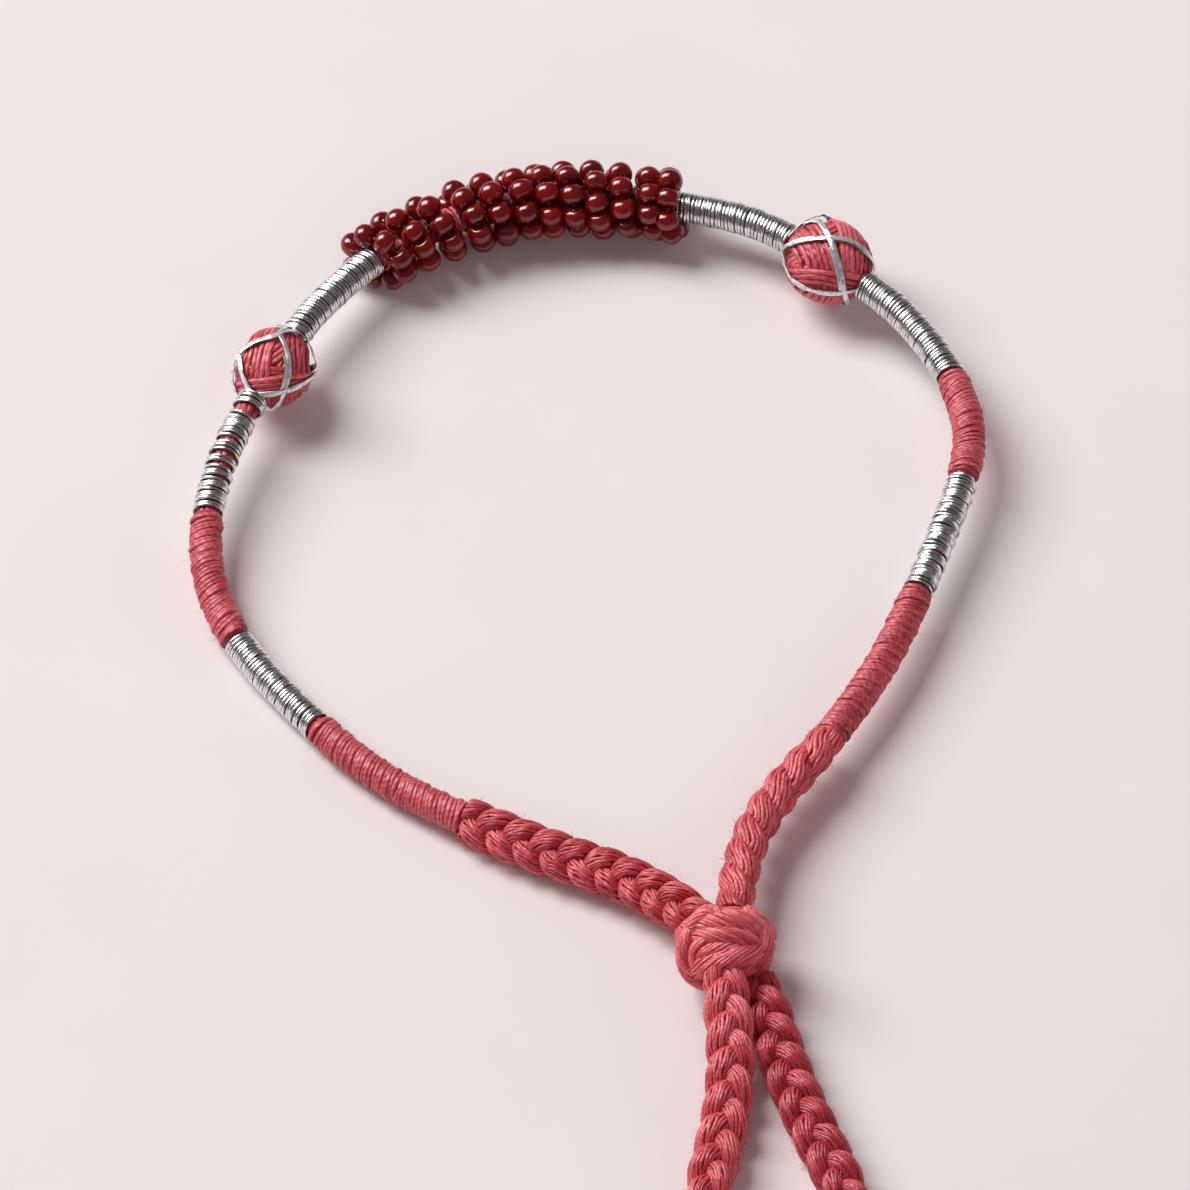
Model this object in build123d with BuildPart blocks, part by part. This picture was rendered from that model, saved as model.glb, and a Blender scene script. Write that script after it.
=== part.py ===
from build123d import *

import os
from collections import namedtuple
from math import ceil, cos, pi, radians, sin, sqrt, tan

# Rakhi thread bracelet, lying on a flat surface at z = 0, in millimetres.
# The origin is on that surface, in the middle of the whole outline. The loop lies
# towards +y, with its beads at the far end, and the two tails run towards -y.

# Core and the windings on it
CORE_DIAMETER = 1.9
SILVER_WALL = 0.3
PINK_WALL = 0.38
WINDING_CLEARANCE = 0.12
END_GAP = 0.15

# Bead sleeve
BEAD_SLEEVE_DIAMETER = 6.8
BEAD_ROW_PITCH = 2.1
BEAD_ROW_RELIEF = 0.45

# Thread balls, across the cord and along it
LEFT_BALL_DIAMETER = 6.9
LEFT_BALL_LENGTH = 7.6
RIGHT_BALL_DIAMETER = 7.5
RIGHT_BALL_LENGTH = 8.0

# Braids of three strands
BRAID_WIDTH = 4.2
BRAID_THICKNESS = 3.3
LEFT_ARM_LOBE_LENGTH = 2.5
RIGHT_ARM_LOBE_LENGTH = 2.8
LEFT_TAIL_LOBE_LENGTH = 3.15
RIGHT_TAIL_LOBE_LENGTH = 2.95
STRANDS = 3
STRAND_CLEARANCE = 0.22
STRAND_SIDES = 8
SECTIONS_PER_LOBE = 4

# Knot: two turns of braid and a crossing one, round the bundle that they tie
KNOT_CENTRE = (11.4, -29.2, 4.1)
KNOT_WIDTH = 8.2
KNOT_TURN_THICKNESS = 3.5
KNOT_TURN_SPACING = 3.3
KNOT_TURN_TILT = 11.0
KNOT_BUNDLE_DIAMETER = 4.9
CROSSING_TURN_WIDTH = 7.6
CROSSING_TURN_THICKNESS = 2.8
CROSSING_TURN_OFFSET = 2.3
MOUTH_CLEARANCE = 0.25

# Whippings that bind the tails' ends
WHIPPING_LENGTH = 1.3

# Few points chosen along the loop, from the left arm's end in the knot, round by
# the beads, to the right arm's end in the knot: x, y, z. The beads, the left arm and
# the tails lie on the surface, and the balls and the right arm stand a little clear.
LOOP_ROUTE = [
    (9.6, -26.3, 3.7),
    (4.4, -21.1, 2.4),
    (-2.3, -18.35, 2.15),
    (-10.1, -14.45, 2.0),
    (-18.1, -9.2, 1.5),
    (-24.4, -2.3, 1.5),
    (-29.1, 3.8, 1.5),
    (-31.9, 9.2, 2.2),
    (-32.7, 15.0, 3.2),
    (-31.8, 20.9, 3.9),
    (-29.7, 27.0, 4.3),
    (-24.6, 37.3, 4.4),
    (-21.6, 41.5, 4.0),
    (-18.2, 45.6, 3.5),
    (-12.6, 49.3, 3.4),
    (-5.0, 52.0, 3.4),
    (2.8, 52.0, 3.4),
    (9.8, 50.7, 3.7),
    (16.2, 47.9, 4.5),
    (25.5, 40.2, 4.6),
    (29.2, 35.3, 4.5),
    (31.7, 30.3, 4.3),
    (32.8, 25.0, 4.0),
    (31.8, 20.0, 3.8),
    (30.0, 14.7, 3.5),
    (28.1, 9.2, 3.3),
    (24.9, 1.2, 3.2),
    (20.4, -6.5, 3.2),
    (15.5, -12.9, 3.2),
    (12.8, -18.9, 3.5),
    (12.0, -26.2, 4.3),
]
LEFT_TAIL_ROUTE = [
    (11.3, -31.9, 4.6),
    (11.8, -37.0, 3.5),
    (11.8, -41.8, 2.4),
    (11.1, -47.0, 1.8),
    (9.2, -54.9, 1.75),
]
RIGHT_TAIL_ROUTE = [
    (14.0, -31.6, 2.7),
    (15.9, -38.4, 1.8),
    (18.4, -45.9, 1.75),
    (22.3, -54.9, 1.75),
]
# Share of the shorter run that an arc takes up
ARC_SHARE = 0.45

# What lies along the loop, in order from the knot round to the knot. A ball's length
# comes from its own sizes, and the last braid takes what is left of the cord.
# columns: name, kind, length
STRETCHES = [
    ("left_arm_strand", "braid", 23.5),
    ("pink_wrap_left_lower", "pink", 16.2),
    ("silver_wrap_left_lower", "silver", 11.6),
    ("pink_wrap_left_upper", "pink", 12.6),
    ("silver_wrap_left_middle", "silver", 13.0),
    ("thread_ball_left", "left_ball", None),
    ("silver_wrap_left_upper", "silver", 12.0),
    ("bead_sleeve", "beads", 27.3),
    ("silver_wrap_right_upper", "silver", 11.8),
    ("thread_ball_right", "right_ball", None),
    ("silver_wrap_right_middle", "silver", 12.8),
    ("pink_wrap_right_upper", "pink", 10.9),
    ("silver_wrap_right_lower", "silver", 12.6),
    ("pink_wrap_right_lower", "pink", 17.4),
    ("right_arm_strand", "braid", None),
]

# How each braid is laid: the length of one lobe, the turns by which its first lobe
# leads, whether its path runs towards the free end (1) or away from it (-1), the roll
# of its flat side from level at the path's start and end in degrees, and its size at
# the path's start and end as a share of the full size
Lay = namedtuple("Lay", "lobe lead way start_roll end_roll start_size end_size")
BRAID_LAY = {
    "left_arm_strand": Lay(LEFT_ARM_LOBE_LENGTH, 0.235, -1, -28.0, -33.0, 0.84, 0.96),
    "right_arm_strand": Lay(RIGHT_ARM_LOBE_LENGTH, 0.0, 1, 70.0, 96.0, 0.92, 0.84),
    "left_tail_strand": Lay(LEFT_TAIL_LOBE_LENGTH, 0.3, 1, -10.0, 0.0, 0.84, 0.8),
    "right_tail_strand": Lay(RIGHT_TAIL_LOBE_LENGTH, 0.12, 1, 20.0, 6.0, 0.84, 0.8),
}
# Share of a braid's length over which it grows from an end's size to the full size
BRAID_TAPER_SHARE = 0.14

# One strand's path and section in the braid. It swings from edge to edge of the braid
# once for every two rises, on top as it runs outwards on its way to the free end. Its
# section is fullest at the edges and leans at the middle, so that the three strands
# fill the braid and just touch.
SIDE_SWING = 0.318 * BRAID_WIDTH
SIDE_SHOULDER = 0.092 * BRAID_WIDTH
RISE_SWING = 0.238 * BRAID_THICKNESS
STRAND_HALF_WIDTH = 0.179 * BRAID_WIDTH
STRAND_EDGE_WIDTH = 0.088 * BRAID_WIDTH
STRAND_HALF_HEIGHT = 0.254 * BRAID_THICKNESS
STRAND_EDGE_HEIGHT = 0.067 * BRAID_THICKNESS
STRAND_LEAN = 41.0

BORE_DIAMETER = CORE_DIAMETER + 2 * WINDING_CLEARANCE
WRAP_DIAMETERS = {
    "silver": BORE_DIAMETER + 2 * SILVER_WALL,
    "pink": BORE_DIAMETER + 2 * PINK_WALL,
}
BALL_SIZES = {
    "left_ball": (LEFT_BALL_DIAMETER, LEFT_BALL_LENGTH),
    "right_ball": (RIGHT_BALL_DIAMETER, RIGHT_BALL_LENGTH),
}


def arc_radii(points):
    """Radius of the arc at each inner point, as large as the two runs there allow."""
    radii = []
    for before, corner, after in zip(points, points[1:], points[2:]):
        run_in = Vector(corner) - Vector(before)
        run_out = Vector(after) - Vector(corner)
        half_turn = radians(run_in.get_angle(run_out)) / 2
        radii.append(ARC_SHARE * min(run_in.length, run_out.length) / tan(half_turn))
    return radii


def routed_path(points):
    """Straight runs through the points, joined by tangent arcs."""
    with BuildLine() as path:
        FilletPolyline(*points, radius=arc_radii(points))
    return path.wire()


def cross_plane(path, distance, roll=0.0):
    """Plane across the path, its x axis turned by the roll from level."""
    share = distance / path.length
    along = path.tangent_at(share)
    level = along.cross(Vector(0, 0, 1)).normalized()
    upwards = level.cross(along)
    turned = level * cos(radians(roll)) - upwards * sin(radians(roll))
    return Plane(origin=path.position_at(share), x_dir=turned, z_dir=along)


def stretch_between(path, start, end):
    """The stretch of the path between two distances along it."""
    return path.trim(start / path.length, end / path.length)


def cord_along(path, diameter):
    """A round cord along a path."""
    with BuildPart() as cord:
        with BuildSketch(cross_plane(path, 0)):
            Circle(diameter / 2)
        sweep(path=path)
    return cord.part


def seat_length(kind):
    """Length of a ball between the flats that the windings beside it meet."""
    diameter, length = BALL_SIZES[kind]
    return length * sqrt(1 - (WRAP_DIAMETERS["silver"] / diameter) ** 2)


def make_wrap(path, diameter):
    """Thread wound closely round the core, as one sleeve."""
    with BuildPart() as wrap:
        with BuildSketch(cross_plane(path, 0)):
            Circle(diameter / 2)
            Circle(BORE_DIAMETER / 2, mode=Mode.SUBTRACT)
        sweep(path=path)
    return wrap.part


def make_bead_sleeve(path):
    """Rows of seed beads round the core, as one sleeve with a ridge for each row."""
    rows = round(path.length / BEAD_ROW_PITCH)
    half_row = path.length / rows / 2
    ridge_radius = BEAD_SLEEVE_DIAMETER / 2
    with BuildPart() as sleeve:
        for step in range(2 * rows + 1):
            on_ridge = step % 2 == 1
            with BuildSketch(cross_plane(path, step * half_row)):
                Circle(ridge_radius if on_ridge else ridge_radius - BEAD_ROW_RELIEF)
        loft(ruled=True)
        add(cord_along(path, BORE_DIAMETER), mode=Mode.SUBTRACT)
    return sleeve.part


def make_ball(path, kind):
    """A ball of wound thread, flat where the windings beside it meet it."""
    diameter, length = BALL_SIZES[kind]
    middle = cross_plane(path, path.length / 2)
    lengthwise = Plane(origin=middle.origin, x_dir=middle.z_dir, z_dir=middle.x_dir)
    with BuildPart() as ball:
        with BuildSketch(lengthwise):
            Ellipse(length / 2, diameter / 2)
            Rectangle(seat_length(kind), diameter, mode=Mode.INTERSECT)
            with Locations((0, -diameter / 2)):
                Rectangle(length, diameter, mode=Mode.SUBTRACT)
        revolve(axis=Axis(middle.origin, middle.z_dir))
        add(cord_along(path, BORE_DIAMETER), mode=Mode.SUBTRACT)
    return ball.part


def braid_size(share, lay):
    """A braid's size at a share of its length: full in the middle, smaller at its ends."""
    from_start = min(1.0, share / BRAID_TAPER_SHARE)
    from_end = min(1.0, (1 - share) / BRAID_TAPER_SHARE)
    return 1 - (1 - lay.start_size) * (1 - from_start) - (1 - lay.end_size) * (1 - from_end)


def strand_section(phase, size):
    """Corners of a strand's section across the braid, at one phase of its swing."""
    centre_x = size * (SIDE_SWING * sin(phase) + SIDE_SHOULDER * sin(3 * phase))
    centre_y = size * RISE_SWING * sin(2 * phase)
    fullness = cos(2 * phase)
    half_width = size * (STRAND_HALF_WIDTH - STRAND_EDGE_WIDTH * fullness) - STRAND_CLEARANCE / 2
    half_height = size * (STRAND_HALF_HEIGHT - STRAND_EDGE_HEIGHT * fullness) - STRAND_CLEARANCE / 2
    lean = -radians(STRAND_LEAN) * cos(phase)
    corners = []
    for side in range(STRAND_SIDES):
        angle = 2 * pi * side / STRAND_SIDES
        across = half_width * cos(angle)
        upwards = half_height * sin(angle)
        x = centre_x + across * cos(lean) - upwards * sin(lean)
        y = centre_y + across * sin(lean) + upwards * cos(lean)
        corners.append((x, y))
    return corners


def make_strand(path, lay, number):
    """One strand of a braid, lofted through flat-sided sections across the braid."""
    steps = ceil(path.length / lay.lobe * SECTIONS_PER_LOBE)
    with BuildPart() as strand:
        for step in range(steps + 1):
            share = step / steps
            lobes = share * path.length / lay.lobe
            phase = 2 * pi * (lay.lead - lay.way * (lobes + number) / STRANDS)
            roll = lay.start_roll + (lay.end_roll - lay.start_roll) * share
            with BuildSketch(cross_plane(path, share * path.length, roll)):
                with BuildLine():
                    Polyline(*strand_section(phase, braid_size(share, lay)), close=True)
                make_face()
        loft(ruled=True)
    return strand.part


def braid_end(path, lay, at_start):
    """Plane across a braid's end, facing out along the braid, and its size there."""
    distance, roll, size = 0, lay.start_roll, lay.start_size
    if not at_start:
        distance, roll, size = path.length, lay.end_roll, lay.end_size
    across = cross_plane(path, distance, roll)
    outward = across.z_dir if at_start else across.z_dir * -1
    return Plane(origin=across.origin - outward * END_GAP, x_dir=across.x_dir, z_dir=outward), size


def make_knot(braid_ends):
    """Turns of braid tied round the bundle, with a shallow mouth for each braid."""
    turn_radius = (KNOT_WIDTH - KNOT_TURN_THICKNESS) / 2
    crossing_radius = (CROSSING_TURN_WIDTH - CROSSING_TURN_THICKNESS) / 2
    half_spacing = KNOT_TURN_SPACING / 2
    across_bundle = Plane(origin=KNOT_CENTRE, x_dir=(1, 0, 0), z_dir=(0, -1, 0))
    with BuildPart(across_bundle) as knot:
        Cylinder(KNOT_BUNDLE_DIAMETER / 2, KNOT_TURN_SPACING)
        for side in (-1, 1):
            with Locations(Location((0, 0, side * half_spacing), (0, side * KNOT_TURN_TILT, 0))):
                Torus(turn_radius, KNOT_TURN_THICKNESS / 2)
        with Locations(Location((CROSSING_TURN_OFFSET, 0, 0), (0, 90, 0))):
            Torus(crossing_radius, CROSSING_TURN_THICKNESS / 2)
        for end_plane, size in braid_ends:
            with BuildSketch(end_plane):
                Ellipse(
                    size * BRAID_WIDTH / 2 + MOUTH_CLEARANCE,
                    size * BRAID_THICKNESS / 2 + MOUTH_CLEARANCE,
                )
            extrude(amount=KNOT_WIDTH, mode=Mode.SUBTRACT)
    return knot.part


def make_whipping(path, lay):
    """Thread wound round a tail's end, on past the ends of its strands."""
    with BuildPart() as whipping:
        with BuildSketch(cross_plane(path, 0, lay.end_roll)):
            Ellipse(lay.end_size * BRAID_WIDTH / 2, lay.end_size * BRAID_THICKNESS / 2)
        sweep(path=path)
    return whipping.part


def save(part, name):
    """Label a finished piece and write it."""
    part.label = name
    export_step(part, f"parts/{name}.step")
    print(f"{name}: {part.volume:.1f} mm3")


def save_strands(path, name):
    """Write the strands of one braid, each a piece of its own."""
    for number in range(STRANDS):
        save(make_strand(path, BRAID_LAY[name], number), f"{name}_{number + 1}")


os.makedirs("parts", exist_ok=True)
loop = routed_path(LOOP_ROUTE)
left_tail = routed_path(LEFT_TAIL_ROUTE)
right_tail = routed_path(RIGHT_TAIL_ROUTE)
print(f"loop {loop.length:.1f} mm, tails {left_tail.length:.1f} and {right_tail.length:.1f} mm")
for route in (LOOP_ROUTE, LEFT_TAIL_ROUTE, RIGHT_TAIL_ROUTE):
    print("arc radii", [round(radius, 1) for radius in arc_radii(route)])

# Windings, beads and balls, each between its neighbours along the loop
reached = 0.0
bare_ends = {}
for name, kind, length in STRETCHES:
    if kind in BALL_SIZES:
        length = seat_length(kind)
    if length is None:
        length = loop.length - reached
    if kind == "braid":
        bare_ends[name] = (reached, reached + length)
    else:
        stretch = stretch_between(loop, reached + END_GAP / 2, reached + length - END_GAP / 2)
    if kind in WRAP_DIAMETERS:
        save(make_wrap(stretch, WRAP_DIAMETERS[kind]), name)
    if kind == "beads":
        save(make_bead_sleeve(stretch), name)
    if kind in BALL_SIZES:
        through = stretch_between(loop, reached - END_GAP, reached + length + END_GAP)
        save(make_ball(through, kind), name)
    reached += length

# The core runs from one arm's braid to the other's
core_start = bare_ends["left_arm_strand"][1]
core_end = bare_ends["right_arm_strand"][0]
core_path = stretch_between(loop, core_start + END_GAP / 2, core_end - END_GAP / 2)
save(cord_along(core_path, CORE_DIAMETER), "core_cord")

# Braids: both arms run between the core and the knot, both tails from the knot out
save_strands(stretch_between(loop, 0, core_start - END_GAP / 2), "left_arm_strand")
save_strands(stretch_between(loop, core_end + END_GAP / 2, loop.length), "right_arm_strand")
for tail, side in ((left_tail, "left"), (right_tail, "right")):
    name = f"{side}_tail_strand"
    whipping_start = tail.length - WHIPPING_LENGTH
    save_strands(stretch_between(tail, 0, whipping_start - END_GAP), name)
    tail_end = stretch_between(tail, whipping_start, tail.length)
    save(make_whipping(tail_end, BRAID_LAY[name]), f"{side}_tail_whipping")

braid_ends = [
    braid_end(loop, BRAID_LAY["left_arm_strand"], at_start=True),
    braid_end(loop, BRAID_LAY["right_arm_strand"], at_start=False),
    braid_end(left_tail, BRAID_LAY["left_tail_strand"], at_start=True),
    braid_end(right_tail, BRAID_LAY["right_tail_strand"], at_start=True),
]
save(make_knot(braid_ends), "knot")
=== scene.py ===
from collections import namedtuple
from math import cos, pi, radians, sin, sqrt

import bpy
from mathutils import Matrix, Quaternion, Vector
import numpy as np


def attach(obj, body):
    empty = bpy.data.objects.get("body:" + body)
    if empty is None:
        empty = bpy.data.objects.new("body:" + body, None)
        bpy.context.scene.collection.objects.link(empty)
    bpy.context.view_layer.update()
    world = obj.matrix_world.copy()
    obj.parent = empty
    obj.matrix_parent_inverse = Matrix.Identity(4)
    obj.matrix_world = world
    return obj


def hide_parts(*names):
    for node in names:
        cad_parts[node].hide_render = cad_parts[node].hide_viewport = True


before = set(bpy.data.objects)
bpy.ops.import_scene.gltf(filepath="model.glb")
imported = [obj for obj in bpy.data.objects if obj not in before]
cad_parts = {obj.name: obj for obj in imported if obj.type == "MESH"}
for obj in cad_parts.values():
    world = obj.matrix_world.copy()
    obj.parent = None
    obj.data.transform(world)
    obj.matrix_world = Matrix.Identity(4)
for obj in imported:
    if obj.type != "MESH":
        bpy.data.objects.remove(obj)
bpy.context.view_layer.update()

# The thread bracelet's looks, in millimetres, which each mesh turns to metres as it is
# made. A wave along a thread is given as its wavelength and its size.
MM = 0.001

# The control points of the cord's routes, the same as the solids follow
LOOP_ROUTE = [
    (9.6, -26.3, 3.7), (4.4, -21.1, 2.4), (-2.3, -18.35, 2.15), (-10.1, -14.45, 2.0),
    (-18.1, -9.2, 1.5), (-24.4, -2.3, 1.5), (-29.1, 3.8, 1.5), (-31.9, 9.2, 2.2),
    (-32.7, 15.0, 3.2), (-31.8, 20.9, 3.9), (-29.7, 27.0, 4.3), (-24.6, 37.3, 4.4),
    (-21.6, 41.5, 4.0), (-18.2, 45.6, 3.5), (-12.6, 49.3, 3.4), (-5.0, 52.0, 3.4),
    (2.8, 52.0, 3.4), (9.8, 50.7, 3.7), (16.2, 47.9, 4.5), (25.5, 40.2, 4.6),
    (29.2, 35.3, 4.5), (31.7, 30.3, 4.3), (32.8, 25.0, 4.0), (31.8, 20.0, 3.8),
    (30.0, 14.7, 3.5), (28.1, 9.2, 3.3), (24.9, 1.2, 3.2), (20.4, -6.5, 3.2),
    (15.5, -12.9, 3.2), (12.8, -18.9, 3.5), (12.0, -26.2, 4.3),
]
LEFT_TAIL_ROUTE = [
    (11.3, -31.9, 4.6), (11.8, -37.0, 3.5), (11.8, -41.8, 2.4), (11.1, -47.0, 1.8),
    (9.2, -54.9, 1.75),
]
RIGHT_TAIL_ROUTE = [
    (14.0, -31.6, 2.7), (15.9, -38.4, 1.8), (18.4, -45.9, 1.75), (22.3, -54.9, 1.75),
]

# What lies along the loop, from the knot round to the knot, as in the solids
# columns: name, kind, length
STRETCHES = [
    ("left_arm_strand", "braid", 23.5),
    ("pink_wrap_left_lower", "pink", 16.2),
    ("silver_wrap_left_lower", "silver", 11.6),
    ("pink_wrap_left_upper", "pink", 12.6),
    ("silver_wrap_left_middle", "silver", 13.0),
    ("thread_ball_left", "ball", 6.98),
    ("silver_wrap_left_upper", "silver", 12.0),
    ("bead_sleeve", "beads", 27.3),
    ("silver_wrap_right_upper", "silver", 11.8),
    ("thread_ball_right", "ball", 7.44),
    ("silver_wrap_right_middle", "silver", 12.8),
    ("pink_wrap_right_upper", "pink", 10.9),
    ("silver_wrap_right_lower", "silver", 12.6),
    ("pink_wrap_right_lower", "pink", 17.4),
    ("right_arm_strand", "braid", None),
]

# The loop's length in the solids, and the gap between two stretches
LOOP_LENGTH = 217.9
END_GAP = 0.15

# How finely routes are drawn, and how far apart their directions and places are taken
ROUTE_RESOLUTION = 24
HEADING_REACH = 0.3
PART_STEP = 0.25
LEAST_PLACES = 8

# Where each kind's random draws start
SEEDS = {
    "braid": 100, "silver": 300, "pink": 400, "ball": 500, "beads": 600, "core": 700,
    "left_tail": 800, "right_tail": 900, "knot": 1000,
}
BRAID_SEED_STEP = 10
WHIPPING_SEED_STEP = 5

# The parts of an uneven wave, as shares of its length, and their usual peak
WOBBLE_SHARES = (1.0, 0.57, 0.31)
WOBBLE_PEAK = 1.5

# How each braid is laid: a lobe's length, the turns by which its first lobe leads, whether
# its path runs towards the free end (1) or away (-1), its roll at the start and end in
# degrees, its size there as a share, how full its strands are and how much painted shade darkens
# its threads
Lay = namedtuple("Lay", "lobe lead way start_roll end_roll start_size end_size fullness darkness")
BRAID_LAY = {
    "left_arm_strand": Lay(2.5, 0.235, -1, -28.0, -33.0, 0.84, 0.96, 1.0, 0.5),
    "right_arm_strand": Lay(2.8, 0.0, 1, 70.0, 96.0, 0.92, 0.84, 1.38, 0.9),
    "left_tail_strand": Lay(3.15, 0.3, 1, -10.0, 0.0, 0.84, 0.8, 1.08, 0.0),
    "right_tail_strand": Lay(2.95, 0.12, 1, 20.0, 6.0, 0.84, 0.8, 1.0, 1.7),
}
BRAID_WIDTH = 4.2
BRAID_THICKNESS = 3.3
BRAID_TAPER_SHARE = 0.14
STRANDS = 3
STRAND_RADIUS = 0.93
SIDE_SWING = 1.17
RISE_SWING = 0.72
ROWS_PER_LOBE = 11

# A strand's plies, with their twist in degrees a millimetre, and the thread inside them,
# with its depth in radii of a ply and the painted shade that darkens it
PLIES = 20
PLY_TWIST = 7.0
PLY_RADIUS_SHARE = 0.56
PLY_FLATNESS = 0.95
PLY_SWAY = (4.0, 0.1)
PLY_SWELL = (1.7, 0.07)
FILLER_DEPTH = 1.2
FILLER_PAINTED_SHADE = -2.0
# The least that a slanting line counts as upright on its sections
LEAST_UPRIGHT = 0.55

# Loose fibres: their number, how far they reach, and how they stand out and drift aside
STRAND_FIBRES = 520
WRAP_FIBRES = 320
KNOT_FIBRES = 500
FIBRE_SIDES = 3
FIBRE_RADIUS = 0.011
FIBRE_REACHES = (0.25, 0.85)
FIBRE_RISE = 0.75
FIBRE_DRIFT = 0.6
FIBRE_BEND = 1.5
FIBRE_SHADE = 0.6
FIBRE_HEIGHT = 0.03

# The core and what is wound round it, with shares of the pitch
CORE_RADIUS = 1.05
CORE_STEP = 0.9
CORE_PLIES = 9
CORE_TWIST = 12.0
SILVER_RADIUS = 1.37
SILVER_PITCH = 0.325
SILVER_THREAD_SHARE = 0.5
PINK_RADIUS = 1.45
PINK_PITCH = 0.35
PINK_THREAD_SHARE = 0.68
SLEEVE_DEPTH_SHARE = 0.55
SLEEVE_STEP = 0.8
# The packed thread under a winding is darkened as painted shade
SLEEVE_PAINTED_SHADE = -1.0

# How a winding is uneven, with wavelengths in turns
SLANT_DRIFT = (23.0, 0.5)
SPACING_WAVE = 3.1
HEIGHT_WAVE = 2.3
HEIGHT_SHARE = 0.12
TILT_WAVE = 0.7
SWELL_WAVE = 1.9
END_TURNS = 1.5
# The share of its gaps that a winding has no turns for, and how sharp their edges are
GAP_SHARE = 0.8
GAP_SHARPNESS = 110.0
GROOVE_SHARPNESS = 8.0
# The dents' waves: how often each goes round the cord, and its wavelength along it
DENT_ROUNDS = (0, 1, 1, 2, 2, 3, 3, 4)
DENT_WAVELENGTHS = (0.7, 2.4)

# Where the silver turns stand apart and the core shows
# columns: share of the wrap's length, width of the gap
SILVER_GAPS = {
    "silver_wrap_left_middle": [(0.3, 0.3), (0.42, 0.6), (0.53, 0.6), (0.65, 0.6), (0.94, 1.6)],
    "silver_wrap_left_lower": [(0.1, 0.2)],
}
# How deeply each silver wrap is dented
SILVER_DENTS = {
    "silver_wrap_left_lower": 0.03,
    "silver_wrap_left_middle": 0.035,
    "silver_wrap_left_upper": 0.025,
    "silver_wrap_right_upper": 0.02,
    "silver_wrap_right_middle": 0.02,
    "silver_wrap_right_lower": 0.05,
}
# Where a wrap has a groove along it: the angle round the cord, and its depth
PINK_GROOVES = {"pink_wrap_right_lower": (122.0, 0.22)}

# Seed beads, and how their string winds round the core, with the front as an angle there
BEAD_DIAMETER = 2.24
BEAD_THICKNESS = 1.66
BEAD_WALL_SHARE = 0.3
BEAD_STEPS = 20
BEAD_SIZES = (0.95, 1.04)
BEAD_STRING_RADIUS = 2.34
BEADS_IN_TURN = 7.9
BEAD_FRONT = 52.0
# How unevenly they lie: in turns of the string, along the cord, out from it and tipped
BEAD_TURN_SCATTER = 0.013
BEAD_ALONG_SCATTER = 0.1
BEAD_OUT_SCATTER = (-0.12, 0.06)
BEAD_TIP = 0.1
# columns: turns of the string, counted at the front; millimetres from the beads' start
BEAD_STRING = [
    (-0.72, 0.7), (-0.45, -0.9), (-0.25, -0.3), (0.0, 0.9), (0.14, 1.5), (0.75, 2.7),
    (1.0, 3.6), (1.25, 4.5), (1.75, 5.6), (2.0, 6.5), (2.25, 7.3), (2.75, 8.9),
    (3.0, 9.4), (4.0, 11.8), (5.0, 14.3), (6.0, 16.5), (7.0, 18.65), (8.0, 20.95),
    (9.0, 23.2), (10.0, 25.75), (10.8, 27.0), (11.35, 27.9),
]
# How the core's winding shows between the beads, from their start: pink, or dark red as painted
# shade
BEAD_CORE = [("pink", 0.0, 2.6), ("pink", 6.9, 8.7), ("dark", 2.6, 6.9), ("dark", 8.7, None)]
BEAD_PINK_RADIUS = PINK_RADIUS - 0.05
BEAD_PAINTED_SHADE_RADIUS = PINK_RADIUS - 0.2
BEAD_CORE_PITCH = 0.36
STRING_RADIUS = 0.2

# The balls' threads, with the spacing in radii and waves in radians round the ball
BALL_THREAD_RADIUS = 0.29
BALL_THREAD_SPACING = 1.6
BALL_THREAD_FLATNESS = 0.85
BALL_THREAD_STEPS = 56
BALL_SWAY = (pi, 0.03)
BALL_SWELL = (4 / 3, 0.14)
BALL_LIFT = (2.5, 0.03)
# How far threads and strips stand out from the solid ball, and the share of the lifts
BALL_RISE = 0.13
STRIP_RISE = 0.17
LAYER_SPREAD = 1.9
# The strips: the share of their widths, how they tilt, and how their ends narrow
STRIP_SHARE = 0.78
STRIP_FLATNESS = 0.2
STRIP_TILT = (0.75, 0.25)
STRIP_STEPS = 26
LEAST_STRIP_STEPS = 12
STRIP_END_SLOPE = 30
STRIP_END_SHARE = 0.25

# The knot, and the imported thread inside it, with half its size in the photo's view
KNOT_CENTRE = np.array((11.4, -29.2, 4.1))
KNOT_STEP = 0.22
KNOT_CORE_SIZE = (2.9, 2.5, 1.7)
KNOT_CORE_LATITUDE = 1.45
KNOT_CORE_RINGS = 9
KNOT_CORE_SIDES = 12

# A tail's whipping, and the ends of the strands inside it
WHIPPING_LENGTH = 1.3
WHIPPING_THREAD_SHARE = 0.56
WHIPPING_FLATNESS = 0.8
WHIPPING_SWELL = (3.0, 0.06)
WHIPPING_MARGIN = 0.2
WHIPPING_TURN_STEPS = 24
STUB_DEPTH = 1.5
STUB_PLIES = 12
STUB_MARGIN = 0.05
STUB_STEPS = 9

# How much the shade and the patches over the cord count in a thread's colour
SHADE_WEIGHT = 0.16
PATCH_WEIGHT = 0.5
BUMP_DISTANCE = 0.00008

# The photo's view: its angle above the floor, its distance and what it frames
VIEW_ELEVATION = 52.0
VIEW_DISTANCE = 1200.0
VIEW_TARGET = np.array((0.6, 11.2, 0.0))
VIEW_WIDTH = 101.15
VIEW_RIGHT = np.array((1.0, 0.0, 0.0))
VIEW_UP = np.array((0.0, sin(radians(VIEW_ELEVATION)), cos(radians(VIEW_ELEVATION))))
VIEW_TOWARD = np.array((0.0, -cos(radians(VIEW_ELEVATION)), sin(radians(VIEW_ELEVATION))))
CLIP_END = 20.0

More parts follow.
